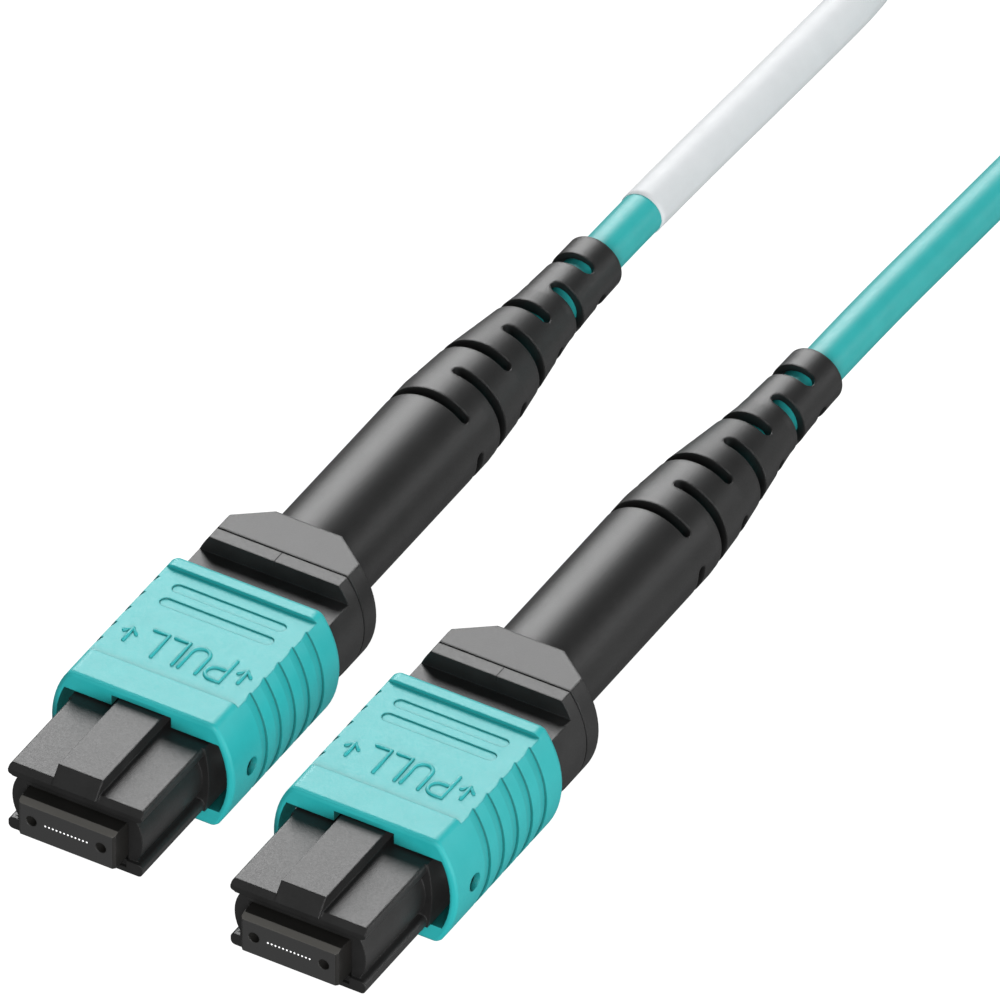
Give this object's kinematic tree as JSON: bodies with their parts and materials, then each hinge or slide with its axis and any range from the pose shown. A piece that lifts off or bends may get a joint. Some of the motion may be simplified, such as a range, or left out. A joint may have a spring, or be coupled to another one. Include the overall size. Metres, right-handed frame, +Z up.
{
  "type": "fibre optic patch cable",
  "caption": "Round fibre patch cable with a keyed multi-fibre push-on plug at each end: sprung coupling sleeve, floating ferrule, slotted strain relief boot, wound spare length.",
  "frame": {"origin": "on the resting surface, in the middle of the box round the two connectors", "axes": "+Y from the ferrule faces towards the cable, +X to the right, +Z up with the keys on top"},
  "size_m": [0.044, 0.1423, 0.0075],
  "materials": {
    "sleeve_plastic": "fine matt grain",
    "housing_plastic": "fine matt grain",
    "ferrule_plastic": "polished end face",
    "fibre": "polished",
    "inner_rubber": "matt",
    "spring_steel": "bright wire",
    "yarn": "combed yarn",
    "crimp_metal": "satin",
    "cable_jacket": "satin jacket",
    "boot_rubber": "satin",
    "label_film": "satin film",
    "tie_fabric": "hook-and-loop tape"
  },
  "bodies": {
    "cable": {"plug_frame_a": "housing_plastic", "ferrule_spring_a": "spring_steel", "coupling_spring_left_a": "spring_steel", "coupling_spring_right_a": "spring_steel", "spring_push_a": "housing_plastic", "aramid_yarn_a": "yarn", "crimp_ring_a": "crimp_metal", "cable_end_a": "cable_jacket", "strain_relief_boot_a": "boot_rubber", "plug_frame_b": "housing_plastic", "ferrule_spring_b": "spring_steel", "coupling_spring_left_b": "spring_steel", "coupling_spring_right_b": "spring_steel", "spring_push_b": "housing_plastic", "aramid_yarn_b": "yarn", "crimp_ring_b": "crimp_metal", "cable_end_b": "cable_jacket", "strain_relief_boot_b": "boot_rubber", "cable_lead_a": "cable_jacket", "cable_lead_b": "cable_jacket", "cable_coil": "cable_jacket", "coil_tie": "tie_fabric", "label_sleeve": "label_film"},
    "sleeve_a": {"coupling_sleeve_a": "sleeve_plastic"},
    "ferrule_a": {"mt_ferrule_a": "ferrule_plastic", "fibre_ribbon_a": "fibre", "ferrule_boot_a": "inner_rubber", "pin_keeper_a": "housing_plastic"},
    "sleeve_b": {"coupling_sleeve_b": "sleeve_plastic"},
    "ferrule_b": {"mt_ferrule_b": "ferrule_plastic", "fibre_ribbon_b": "fibre", "ferrule_boot_b": "inner_rubber", "pin_keeper_b": "housing_plastic"}
  },
  "joints": [
    {"name": "sleeve_slide_a", "type": "slide", "parent": "cable", "child": "sleeve_a", "axis": [0, 1, 0], "range_m": [0, 0.0018], "stiffness_N_per_m": 600, "springref_m": -0.002, "deforming": ["coupling_spring_left_a", "coupling_spring_right_a"]},
    {"name": "ferrule_float_a", "type": "slide", "parent": "cable", "child": "ferrule_a", "axis": [0, 1, 0], "range_m": [0, 0.0008], "stiffness_N_per_m": 2500, "springref_m": -0.003, "deforming": ["ferrule_spring_a"]},
    {"name": "sleeve_slide_b", "type": "slide", "parent": "cable", "child": "sleeve_b", "axis": [0, 1, 0], "range_m": [0, 0.0018], "stiffness_N_per_m": 600, "springref_m": -0.002, "deforming": ["coupling_spring_left_b", "coupling_spring_right_b"]},
    {"name": "ferrule_float_b", "type": "slide", "parent": "cable", "child": "ferrule_b", "axis": [0, 1, 0], "range_m": [0, 0.0008], "stiffness_N_per_m": 2500, "springref_m": -0.003, "deforming": ["ferrule_spring_b"]}
  ]
}
